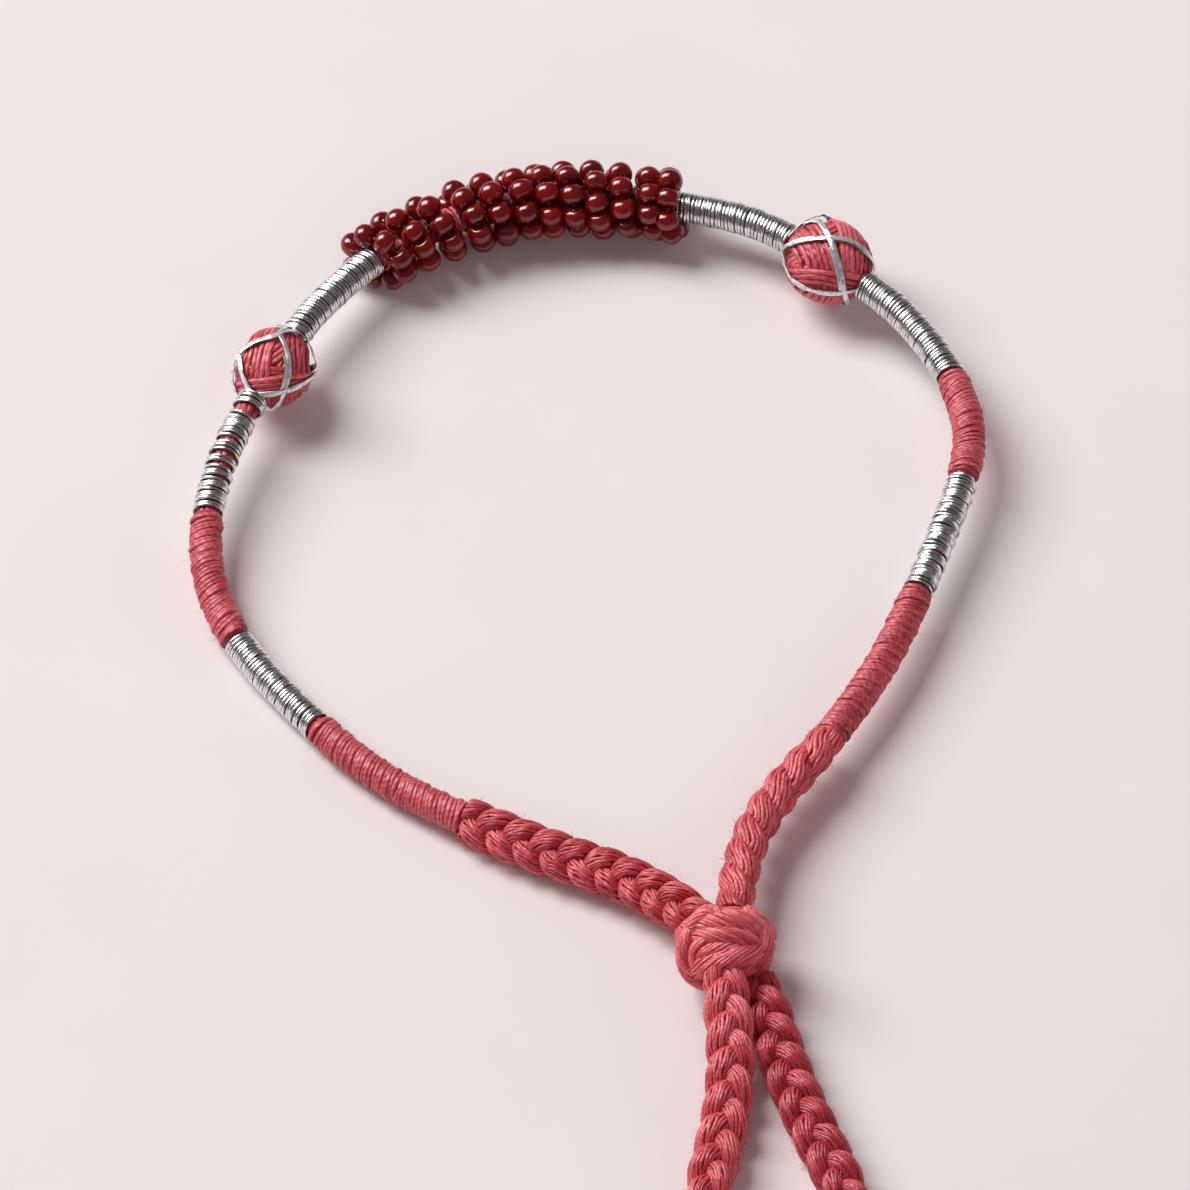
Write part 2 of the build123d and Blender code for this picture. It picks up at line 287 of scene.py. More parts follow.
# Soft studio light from the left and a little behind, in a dim room
# columns: name; direction; distance, width and height in metres; turn; energy; colour;
# whether it shows in gloss; whether it lights what is matt
LIGHTS = [
    ("key_light", (-0.8, 0.5, 1.0), 1.6, 0.7, 1.2, 20.0, 30.0, (0.98, 1.0, 1.0), True, True),
    ("key_card", (-0.8, 0.5, 1.0), 1.7, 1.3, 2.1, 20.0, 27.0, (1.0, 1.0, 1.0), True, False),
    ("front_fill", (0.1, -1.0, 0.6), 1.8, 2.2, 1.0, 0.0, 6.0, (1.0, 0.82, 0.82), False, True),
    ("side_fill", (1.0, 0.3, 0.5), 1.8, 2.0, 0.9, 0.0, 5.0, (1.0, 0.82, 0.82), False, True),
]
ROOM_COLOUR = (1.0, 0.88, 0.88, 1.0)
ROOM_STRENGTH = 0.13
FLOOR_HALF_SIZE = 1500.0


def unit(vectors):
    """Vectors of length one."""
    return vectors / np.linalg.norm(vectors, axis=-1, keepdims=True)


def headings(places):
    """The direction of a line at each of its places."""
    return unit(np.gradient(places, axis=0))


def distances_along(places):
    """How far along a line each of its places is."""
    steps = np.linalg.norm(np.diff(places, axis=0), axis=1)
    return np.concatenate(([0.0], np.cumsum(steps)))


def in_view(right, up, toward):
    """What the photo's view shows this far to the right, up and towards the eye."""
    return (
        np.multiply.outer(right, VIEW_RIGHT)
        + np.multiply.outer(up, VIEW_UP)
        + np.multiply.outer(toward, VIEW_TOWARD)
    )


def spokes_at(angle, across, over, half_width=1.0, half_height=1.0):
    """Spokes of an oval round a line, at angles from across towards over."""
    return (
        across * (half_width * np.cos(angle))[:, None]
        + over * (half_height * np.sin(angle))[:, None]
    )


def wobble(along, wavelength, size, chance):
    """A smooth uneven wave at places along a thread."""
    total = np.zeros_like(along, dtype=float)
    for share in WOBBLE_SHARES:
        start = chance.uniform(0, 2 * pi)
        total += share * np.sin(2 * pi * along / (wavelength * share) + start)
    return size * total / WOBBLE_PEAK


def dents(distance, angle, size, chance):
    """Smooth uneven dents at places along and round a cord."""
    total = np.zeros_like(angle)
    for times_round in DENT_ROUNDS:
        wavelength = chance.uniform(*DENT_WAVELENGTHS)
        start = chance.uniform(0, 2 * pi)
        total += np.sin(2 * pi * distance / wavelength + times_round * angle + start)
    return size * total / 2


class Path:
    """A smooth path with the directions across it."""

    def __init__(self, points):
        self.points = np.asarray(points, dtype=float)
        self.reached = distances_along(self.points)
        self.length = self.reached[-1]

    def at(self, distance):
        """Places at these distances along the path."""
        columns = [np.interp(distance, self.reached, column) for column in self.points.T]
        return np.stack(columns, axis=-1)

    def frames(self, distance, roll=0.0):
        """Places, and the directions along, across and over there, turned by the roll."""
        along = unit(self.at(distance + HEADING_REACH) - self.at(distance - HEADING_REACH))
        level = unit(np.cross(along, (0.0, 0.0, 1.0)))
        upwards = np.cross(level, along)
        turn = np.radians(np.broadcast_to(roll, distance.shape))[..., None]
        across = level * np.cos(turn) - upwards * np.sin(turn)
        over = upwards * np.cos(turn) + level * np.sin(turn)
        return self.at(distance), along, across, over

    def part(self, start, end):
        """The part of the path between two distances along it."""
        count = max(LEAST_PLACES, int((end - start) / PART_STEP))
        return Path(self.at(np.linspace(start, end, count)))


def smooth_path(control_points):
    """The path along the smooth spline that has these as its control points."""
    curve = bpy.data.curves.new("route", "CURVE")
    curve.dimensions = "3D"
    curve.resolution_u = ROUTE_RESOLUTION
    spline = curve.splines.new("NURBS")
    spline.points.add(len(control_points) - 1)
    for point, place in zip(spline.points, control_points):
        point.co = (*place, 1.0)
    spline.order_u = 3
    spline.use_endpoint_u = True
    holder = bpy.data.objects.new("route", curve)
    line = bpy.data.meshes.new_from_object(holder)
    places = np.empty(len(line.vertices) * 3)
    line.vertices.foreach_get("co", places)
    bpy.data.objects.remove(holder)
    bpy.data.curves.remove(curve)
    bpy.data.meshes.remove(line)
    return Path(places.reshape(-1, 3))


def add_object(name, data):
    """Puts a mesh, a light or the camera into the scene."""
    thing = bpy.data.objects.new(name, data)
    bpy.context.scene.collection.objects.link(thing)
    return thing


class Threads:
    """Threads collected into one mesh. Each is rings of the same number of corners."""

    def __init__(self, sides=6):
        self.sides = sides
        self.places, self.faces, self.corners, self.shades, self.roots = [], [], [], [], []
        self.count = 0

    def add(self, centres, radius, outward, flat=1.0, shade=0.0, closed=False):
        """Adds one thread along its centres, flattened in the outward direction."""
        if closed:
            along = unit(np.roll(centres, -1, axis=0) - np.roll(centres, 1, axis=0))
        else:
            along = headings(centres)
        sideways = unit(np.cross(along, np.broadcast_to(outward, centres.shape)))
        outward = np.cross(sideways, along)
        angle = 2 * pi * np.arange(self.sides)[:, None] / self.sides
        radius = np.broadcast_to(radius, len(centres))[:, None, None]
        rings = centres[:, None] + radius * (
            np.cos(angle) * sideways[:, None] + flat * np.sin(angle) * outward[:, None]
        )
        self.add_rings(rings, shade, closed)

    def add_rings(self, rings, shade=0.0, closed=False):
        """Adds a tube through rings of corners."""
        rows, sides = rings.shape[:2]
        middles = rings.mean(axis=1)
        reached = distances_along(middles)
        # The stretch that closes a ring counts as long as the one before it
        reached = np.append(reached, 2 * reached[-1] - reached[-2])
        row = np.arange(rows if closed else rows - 1)[:, None]
        side = np.arange(sides)[None, :]
        here = row * sides
        ahead = (row + 1) % rows * sides
        beside = (side + 1) % sides
        quads = np.stack((here + side, here + beside, ahead + beside, ahead + side), -1)
        quads = quads.reshape(-1, 4)
        start, end, left = np.broadcast_arrays(reached[row], reached[row + 1], side / sides)
        right = left + 1 / sides
        corners = np.stack([start, left, start, right, end, right, end, left], -1)
        corners = corners.reshape(-1, 4, 2)
        if not closed:
            # Quads that share the ring's first corner close each end
            for ring, way in ((0, -1), (rows - 1, 1)):
                for corner in range(1, sides - 2, 2):
                    cap = np.array([0, corner, corner + 1, corner + 2])[::way] + ring * sides
                    quads = np.vstack((quads, cap))
                    corners = np.concatenate((corners, np.full((1, 4, 2), reached[ring])))
        self.places.append(rings.reshape(-1, 3))
        self.faces.append(quads + self.count)
        self.corners.append(corners)
        self.shades.append(np.full(rows * sides, shade))
        self.roots.append(np.repeat(middles, sides, axis=0))
        self.count += rows * sides

    def add_fibres(self, threads, count, chance):
        """Adds short loose fibres that stand out of other threads."""
        places = np.concatenate(threads.places)
        roots = np.concatenate(threads.roots)
        for index in chance.integers(0, len(places), count):
            outward = unit(places[index] - roots[index])
            drift = unit(chance.normal(size=3))
            reach = np.array((0.0, 0.5, 1.0))[:, None] * chance.uniform(*FIBRE_REACHES)
            line = places[index] + outward * reach * FIBRE_RISE
            line = line + drift * reach**FIBRE_BEND * FIBRE_DRIFT
            line[:, 2] = np.maximum(line[:, 2], FIBRE_HEIGHT)
            self.add(line, FIBRE_RADIUS, np.cross(outward, drift), 1.0, FIBRE_SHADE)

    def piece(self, name, slot, nodes=(), look=None):
        """Shows the threads in place of solids, in the slot's own look or another one."""
        mesh = bpy.data.meshes.new(name)
        places = np.concatenate(self.places)
        # The lowest threads are pressed flat by the floor
        places[:, 2] = np.maximum(places[:, 2], 0.0)
        mesh.from_pydata(places * MM, [], np.concatenate(self.faces))
        thread_places = mesh.uv_layers.new(name="thread")
        thread_places.data.foreach_set("uv", np.concatenate(self.corners).ravel())
        shade = mesh.attributes.new("shade", "FLOAT", "POINT")
        shade.data.foreach_set("value", np.concatenate(self.shades))
        mesh.shade_smooth()
        mesh.materials.append(materials[look or slot])
        piece = add_object(name, mesh)
        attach(piece, "root")
        if nodes:
            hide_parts(*nodes)


def add_bundle(threads, places, across, over, half_width, half_height, plies, twist, chance,
               darkness=0.0):
    """Adds plies laid side by side round a section that may change along a line."""
    reached = distances_along(places)
    mean_radius = np.sqrt((half_width**2 + half_height**2) / 2)
    radius = PLY_RADIUS_SHARE * 2 * pi * mean_radius / plies
    # Where the line slants through its sections, they are drawn out along the slant
    facing = np.cross(across, over)
    ahead = headings(places)
    ahead = ahead * np.sign(np.sum(ahead * facing, axis=1))[:, None]
    upright = np.clip(np.sum(ahead * facing, axis=1), LEAST_UPRIGHT, 1.0)[:, None]
    slant = ahead - facing * upright

    def around(angle, inset):
        spoke = spokes_at(angle, across, over, half_width - inset, half_height - inset)
        return spoke + slant * np.sum(spoke * slant, axis=1)[:, None] / (upright * (1 + upright))

    for ply in range(plies):
        angle = 2 * pi * ply / plies + np.radians(twist * reached)
        angle = angle + wobble(reached, *PLY_SWAY, chance)
        swell = 1 + wobble(reached, *PLY_SWELL, chance)
        spoke = around(angle, radius)
        # Each ply's random tone, lowered by the braid's painted shade
        shade = chance.uniform(-1, 1) - darkness
        threads.add(places + spoke, radius * swell, unit(spoke), PLY_FLATNESS, shade)
    # The thread inside, seen only deep in the creases, darkened there as painted shade
    corners = [2 * pi * (1 - corner / threads.sides) for corner in range(threads.sides)]
    filler = [
        places + around(np.full(len(places), corner), FILLER_DEPTH * radius) for corner in corners
    ]
    threads.add_rings(np.stack(filler, axis=1), FILLER_PAINTED_SHADE)


def make_braid(name, path, seed):
    """Three strands laid over each other, each a piece that stands for its solid."""
    lay = BRAID_LAY[name]
    share = np.linspace(0, 1, int(path.length / lay.lobe * ROWS_PER_LOBE))
    reached = share * path.length
    roll = lay.start_roll + (lay.end_roll - lay.start_roll) * share
    places, _, across, over = path.frames(reached, roll)
    size = np.interp(share, (0, BRAID_TAPER_SHARE, 1 - BRAID_TAPER_SHARE, 1),
                     (lay.start_size, 1, 1, lay.end_size))
    spread = STRAND_RADIUS * (lay.fullness - 1)
    radius = size * STRAND_RADIUS * lay.fullness
    fibres = Threads(FIBRE_SIDES)
    for number in range(STRANDS):
        chance = np.random.default_rng(seed + number)
        # A strand swings from edge to edge, and under or over the others on the way
        phase = 2 * pi * (lay.lead - lay.way * (reached / lay.lobe + number) / STRANDS)
        swing = size * (SIDE_SWING - spread) * np.sin(phase)
        drop = size * (RISE_SWING - spread) * np.sin(2 * phase)
        centres = places + across * swing[:, None] - over * drop[:, None]
        threads = Threads()
        add_bundle(threads, centres, across, over, radius, radius, PLIES, PLY_TWIST, chance,
                   lay.darkness)
        node = f"{name}_{number + 1}"
        threads.piece(f"{node}_plies", "braid_thread", [node])
        fibres.add_fibres(threads, STRAND_FIBRES, chance)
    fibres.piece(f"{name}_fibres", "braid_thread")


def add_winding(threads, path, radius, thread_radius, pitch, chance, turn_steps, slant,
                flat=1.0, uneven=0.06, tip=0.1, gaps=(), dent=0.0, groove=None):
    """Adds one thread wound closely round a path, with its turns slanted and uneven."""
    opened = GAP_SHARE * sum(width for _, width in gaps)
    turns = int((path.length - 2 * thread_radius - opened) / pitch)
    turn = np.arange(turns * turn_steps + 1) / turn_steps
    # A gap pushes the turns beside it together
    spaced = turn / turns
    for middle, width in gaps:
        spaced = spaced + width / path.length / 2 * np.tanh((spaced - middle) * GAP_SHARPNESS)
    spaced = (spaced - spaced[0]) / (spaced[-1] - spaced[0])
    angle = 2 * pi * turn + chance.uniform(0, 2 * pi)
    lean = slant * radius * np.cos(angle + wobble(turn, *SLANT_DRIFT, chance))
    distance = thread_radius + (path.length - 2 * thread_radius) * spaced
    distance = distance + wobble(turn, SPACING_WAVE, uneven * pitch, chance)
    ends = np.clip(np.minimum(turn, turns - turn) / END_TURNS, 0, 1)
    distance = np.clip(distance + lean * ends, 0.0, path.length)
    places, along, across, over = path.frames(distance)
    spoke = spokes_at(angle, across, over)
    height = radius - thread_radius * flat
    height = height + wobble(turn, HEIGHT_WAVE, HEIGHT_SHARE * thread_radius, chance)
    height = height + dents(distance, angle, dent, chance) - dent
    if groove:
        facing, depth = groove
        height = height - depth * np.exp(GROOVE_SHARPNESS * (np.cos(angle - radians(facing)) - 1))
    tilt = chance.normal(0, tip, turns + 2)[turn.astype(int)]
    tilt = tilt + wobble(turn, TILT_WAVE, tip, chance)
    tilted = unit(spoke + along * tilt[:, None])
    swell = thread_radius * (1 + wobble(turn, SWELL_WAVE, uneven, chance))
    threads.add(places + spoke * height[:, None], swell, tilted, flat)


def make_silver_wrap(name, path, chance):
    """Flat metallic thread wound round the core."""
    threads = Threads(sides=8)
    add_winding(
        threads, path, SILVER_RADIUS, SILVER_PITCH * SILVER_THREAD_SHARE, SILVER_PITCH, chance,
        turn_steps=28, slant=0.12, flat=0.85, uneven=0.14, tip=0.2,
        gaps=SILVER_GAPS.get(name, ()), dent=SILVER_DENTS[name],
    )
    threads.piece(f"{name}_turns", "silver_thread", [name])


def make_pink_wrap(name, path, chance):
    """Yarn wound round the core, over packed thread."""
    threads = Threads(sides=8)
    add_winding(
        threads, path, PINK_RADIUS, PINK_PITCH * PINK_THREAD_SHARE, PINK_PITCH, chance,
        turn_steps=26, slant=0.3, flat=0.7, uneven=0.15, tip=0.15, dent=0.04,
        groove=PINK_GROOVES.get(name),
    )
    fibres = Threads(FIBRE_SIDES)
    fibres.add_fibres(threads, WRAP_FIBRES, chance)
    fibres.piece(f"{name}_fibres", "wrap_thread")
    # The packed thread under the turns, darkened as painted shade between them
    distance = np.linspace(0, path.length, int(path.length / SLEEVE_STEP))
    places, _, _, over = path.frames(distance)
    sleeve_radius = PINK_RADIUS - PINK_PITCH * SLEEVE_DEPTH_SHARE
    threads.add(places, sleeve_radius, over, 1.0, SLEEVE_PAINTED_SHADE)
    threads.piece(f"{name}_turns", "wrap_thread", [name])


def make_core(path, chance):
    """The bundle of threads that everything is wound round."""
    threads = Threads()
    places, _, across, over = path.frames(np.arange(0, path.length, CORE_STEP))
    add_bundle(threads, places, across, over, CORE_RADIUS, CORE_RADIUS, CORE_PLIES, CORE_TWIST,
               chance)
    threads.piece("core_threads", "core_thread", ["core_cord"], look="wrap_thread")


class Ball:
    """A ball on the cord, with places on it given as the photo's view shows them."""

    def __init__(self, path, diameter, length):
        middle, along, _, _ = path.frames(np.array([path.length / 2]))
        self.centre = middle[0]
        self.along = along[0]
        self.across_radius = diameter / 2
        self.along_radius = length / 2

    def surface(self, directions, lift):
        """Places on the ball in these directions, lifted from its surface."""
        lengthwise = (directions @ self.along)[:, None] * self.along
        return (
            self.centre
            + (directions - lengthwise) * (self.across_radius + lift)
            + lengthwise * (self.along_radius + lift)
        )

    def wind(self, threads, normal, first, last, lift, chance):
        """Winds threads side by side round the ball, each in a plane across the normal."""
        axis = unit(in_view(*normal))
        side = unit(np.cross(axis, self.along + 0.1 * VIEW_UP))
        other = np.cross(axis, side)
        spacing = BALL_THREAD_SPACING * BALL_THREAD_RADIUS / self.across_radius
        angle = np.linspace(0, 2 * pi, BALL_THREAD_STEPS, endpoint=False)
        for offset in np.arange(first, last, spacing):
            sway = wobble(angle, *BALL_SWAY, chance)
            girth = sqrt(1 - offset**2)
            directions = unit(
                axis * (offset + sway)[:, None] + girth * spokes_at(angle, side, other)
            )
            radius = BALL_THREAD_RADIUS * (1 + wobble(angle, *BALL_SWELL, chance))
            rise = BALL_RISE + LAYER_SPREAD * lift - BALL_THREAD_RADIUS
            rise = rise + wobble(angle, *BALL_LIFT, chance)[0]
            threads.add(self.surface(directions, rise), radius, directions,
                        BALL_THREAD_FLATNESS, chance.uniform(-1, 1), closed=True)

    def lay_strip(self, strips, marks, facing, width, shift, chance):
        """Lays a flat strip on the ball along marks to the right and up in the view."""
        marks = np.array(marks)
        depth = facing * np.sqrt(np.clip(1 - (marks**2).sum(axis=1), 0.0, 1.0))
        guide = smooth_path(np.column_stack((marks, depth)))
        count = max(LEAST_STRIP_STEPS, int(guide.length * STRIP_STEPS))
        steps = np.linspace(0, guide.length, count)
        directions = unit(in_view(*guide.at(steps).T))
        places = self.surface(directions, STRIP_RISE)
        beside = unit(np.cross(headings(places), directions))
        places = places + beside * shift
        tilted = unit(directions + beside * wobble(steps, *STRIP_TILT, chance)[:, None])
        from_end = np.minimum(steps, guide.length - steps)
        ends = np.clip(from_end * STRIP_END_SLOPE, STRIP_END_SHARE, 1.0)
        radius = STRIP_SHARE * width / 2 * ends
        strips.add(places, radius, tilted, STRIP_FLATNESS, chance.uniform(-1, 1))


# How each ball's threads lie, the first below and the last on top
# columns: normal to the right, up and towards the eye; first and last offset; lift
LEFT_WINDINGS = [
    ((0.9, -0.3, 0.3), -0.94, 0.94, -0.37),
    ((0.2, 1.0, 0.1), -0.94, 0.94, -0.3),
    ((-0.5, 0.4, 0.8), -0.8, 0.8, -0.24),
    ((-0.6, 0.8, 0.0), 0.1, 0.85, -0.18),
    ((0.15, 1.0, -0.2), -0.72, -0.1, -0.13),
    ((1.0, 0.0, -0.15), 0.3, 0.97, -0.08),
    ((-0.95, 0.1, -0.2), -0.1, 0.6, -0.07),
    ((-0.1, 1.0, -0.1), -0.6, -0.2, -0.01),
]
RIGHT_WINDINGS = [
    ((0.8, 0.5, 0.3), -0.94, 0.94, -0.37),
    ((-0.2, 1.0, 0.1), -0.94, 0.94, -0.3),
    ((0.5, 0.5, 0.8), -0.8, 0.8, -0.24),
    ((-0.5, 0.85, -0.1), 0.3, 0.9, -0.18),
    ((0.1, 1.0, 0.0), -0.75, -0.25, -0.13),
    ((0.6, 0.7, 0.0), -0.2, 0.2, -0.12),
    ((1.0, -0.05, -0.2), 0.1, 0.97, -0.08),
    ((1.0, 0.25, -0.3), -0.85, -0.1, -0.06),
    ((0.1, 1.0, -0.1), -0.62, -0.28, -0.01),
]

# The flat silver strips round each ball
# columns: facing, width, shift beside, marks to the right and up in shares of the ball
LEFT_STRIPS = [
    (1, 0.78, 0.0, [(0.6, 0.78), (0.3, 0.86), (0.09, 0.75), (-0.14, 0.7), (-0.38, 0.64),
     (-0.6, 0.52), (-0.8, 0.35), (-0.9, 0.06), (-0.93, -0.2), (-0.86, -0.45), (-0.7, -0.66)]),
    (1, 0.62, 0.0, [(0.42, 0.92), (0.11, 0.84), (0.21, 0.7), (0.3, 0.54), (0.37, 0.34),
     (0.41, 0.15), (0.43, -0.04), (0.4, -0.22), (0.34, -0.42), (0.27, -0.66), (0.14, -0.86),
     (0.0, -0.95), (-0.14, -0.84), (-0.24, -0.66)]),
    (1, 0.42, 0.42, [(0.4, 0.3), (0.44, 0.12), (0.46, -0.04), (0.43, -0.22), (0.37, -0.42),
     (0.3, -0.6)]),
    (1, 0.78, 0.0, [(-0.92, -0.5), (-0.75, -0.62), (-0.55, -0.62), (-0.3, -0.58), (-0.05, -0.57),
     (0.2, -0.55), (0.45, -0.48), (0.7, -0.38), (0.93, -0.23), (0.985, -0.172)]),
    (1, 0.78, 0.0, [(-0.8, 0.36), (-0.75, 0.2), (-0.72, 0.02), (-0.64, -0.2), (-0.54, -0.38),
     (-0.42, -0.6)]),
    (1, 0.6, 0.0, [(0.52, 0.84), (0.72, 0.68), (0.86, 0.48), (0.95, 0.2), (0.997, 0.08)]),
    (1, 0.6, 0.1, [(0.0, 0.98), (0.2, 0.96), (0.42, 0.9)]),
    (-1, 0.78, 0.0, [(0.5, 0.8), (0.1, 0.6), (-0.3, 0.2), (-0.5, -0.3), (-0.5, -0.8)]),
    (-1, 0.78, 0.0, [(0.985, -0.172), (0.93, -0.18), (0.6, -0.3), (0.1, -0.5), (-0.4, -0.5),
     (-0.9, -0.4)]),
    (-1, 0.78, 0.0, [(0.997, 0.08), (0.95, -0.01), (0.6, -0.1), (0.3, -0.3), (-0.1, -0.7),
     (-0.4, -0.85)]),
]
RIGHT_STRIPS = [
    (1, 0.72, 0.0, [(-0.55, 0.8), (-0.25, 0.9), (-0.12, 0.74), (-0.03, 0.57), (0.06, 0.34),
     (0.14, 0.08), (0.21, -0.22), (0.25, -0.45), (0.28, -0.62), (0.32, -0.8), (0.4, -0.94)]),
    (1, 0.42, 0.42, [(0.1, 0.34), (0.17, 0.08), (0.24, -0.22), (0.28, -0.45), (0.3, -0.62)]),
    (1, 0.72, 0.0, [(-0.98, 0.22), (-0.85, 0.33), (-0.72, 0.4), (-0.5, 0.46), (-0.27, 0.49),
     (-0.04, 0.5), (0.19, 0.5), (0.45, 0.45), (0.65, 0.32), (0.84, 0.13), (0.96, -0.06),
     (0.95, -0.24), (0.84, -0.42), (0.72, -0.56)]),
    (1, 0.72, 0.0, [(-0.98, 0.2), (-0.92, -0.16), (-0.84, -0.38), (-0.74, -0.48), (-0.56, -0.59),
     (-0.37, -0.66), (-0.14, -0.7), (0.16, -0.7), (0.46, -0.64), (0.74, -0.55), (0.88, -0.44)]),
    (1, 0.6, 0.0, [(-0.85, 0.5), (-0.62, 0.76), (-0.4, 0.9), (-0.15, 0.989)]),
    (1, 0.5, 0.0, [(0.75, -0.6), (0.66, -0.72), (0.55, -0.83)]),
    (-1, 0.78, 0.0, [(-0.6, 0.75), (-0.2, 0.5), (0.2, 0.2), (0.6, -0.2), (0.75, -0.6)]),
    (-1, 0.78, 0.0, [(-0.98, 0.2), (-0.82, 0.1), (-0.5, -0.1), (-0.1, -0.4), (0.4, -0.7),
     (0.7, -0.65)]),
    (-1, 0.78, 0.0, [(-0.15, 0.989), (0.1, 0.9), (0.25, 0.4), (0.2, -0.2), (0.2, -0.7),
     (0.4, -0.92)]),
]
# columns: size across the cord, size along it, windings, strips
BALLS = {
    "thread_ball_left": (6.9, 7.6, LEFT_WINDINGS, LEFT_STRIPS),
    "thread_ball_right": (7.5, 8.0, RIGHT_WINDINGS, RIGHT_STRIPS),
}


def make_ball(name, path, chance):
    """A ball of thread wound in patches, caged by flat silver strips."""
    diameter, length, windings, bare_strips = BALLS[name]
    ball = Ball(path, diameter, length)
    threads = Threads()
    for normal, first, last, lift in windings:
        ball.wind(threads, normal, first, last, lift, chance)
    threads.piece(f"{name}_windings", "ball_thread", [name])
    strips = Threads(sides=8)
    for facing, width, shift, marks in bare_strips:
        ball.lay_strip(strips, marks, facing, width, shift, chance)
    strips.piece(f"{name}_strips", "silver_thread", look="silver_strip")


def make_beads(loop, start, end, chance):
    """A string of ring-shaped seed beads wound round the core."""
    turns, reach = np.array(BEAD_STRING).T
    count = int((turns[-1] - turns[0]) * BEADS_IN_TURN)
    at_turn = np.linspace(turns[0], turns[-1], count)
    at_turn[1:-1] += chance.uniform(-BEAD_TURN_SCATTER, BEAD_TURN_SCATTER, count - 2)
    middles, along, across, over = loop.frames(start + np.interp(at_turn, turns, reach))
    shifts = chance.uniform(-BEAD_ALONG_SCATTER, BEAD_ALONG_SCATTER, (count, 1))
    spokes = spokes_at(radians(BEAD_FRONT) - 2 * pi * at_turn, across, over)
    radii = BEAD_STRING_RADIUS + chance.uniform(*BEAD_OUT_SCATTER, (count, 1))
    centres = middles + along * shifts + spokes * radii
    centres[:, 2] = np.maximum(centres[:, 2], BEAD_DIAMETER / 2)
    holes = unit(headings(centres) + chance.normal(0, BEAD_TIP, (count, 3)))
    # The first bead has tipped over, so that its hole faces the view
    holes[0] = unit(VIEW_TOWARD + 0.3 * VIEW_UP)

    beads = Threads(sides=12)
    step = np.linspace(0, 2 * pi, BEAD_STEPS, endpoint=False)
    profile_radius = BEAD_THICKNESS / 2
    wall = BEAD_DIAMETER * BEAD_WALL_SHARE
    for centre, hole, lengthwise in zip(centres, holes, along):
        first = unit(np.cross(hole, lengthwise))
        ring = spokes_at(step, first, np.cross(hole, first))
        size = chance.uniform(*BEAD_SIZES)
        places = centre + ring * size * (BEAD_DIAMETER / 2 - wall)
        beads.add(places, size * profile_radius, ring, wall / profile_radius,
                  chance.uniform(-1, 1), closed=True)
    beads.piece("seed_beads", "seed_beads", ["bead_sleeve"], look="seed_bead_glass")

    # The string and the dark red turns of the core are painted shade between the beads
    pink = Threads()
    string = Threads()
    string.add(centres, STRING_RADIUS, spokes)
    winds = {"pink": (pink, BEAD_PINK_RADIUS), "dark": (string, BEAD_PAINTED_SHADE_RADIUS)}
    for kind, first, last in BEAD_CORE:
        threads, radius = winds[kind]
        bare = loop.part(start + first, start + last if last else end)
        add_winding(threads, bare, radius, STRING_RADIUS, BEAD_CORE_PITCH, chance,
                    turn_steps=16, slant=0.2)
    pink.piece("bead_core_turns", "core_thread", look="wrap_thread")
    string.piece("bead_string", "core_thread", look="bead_string")


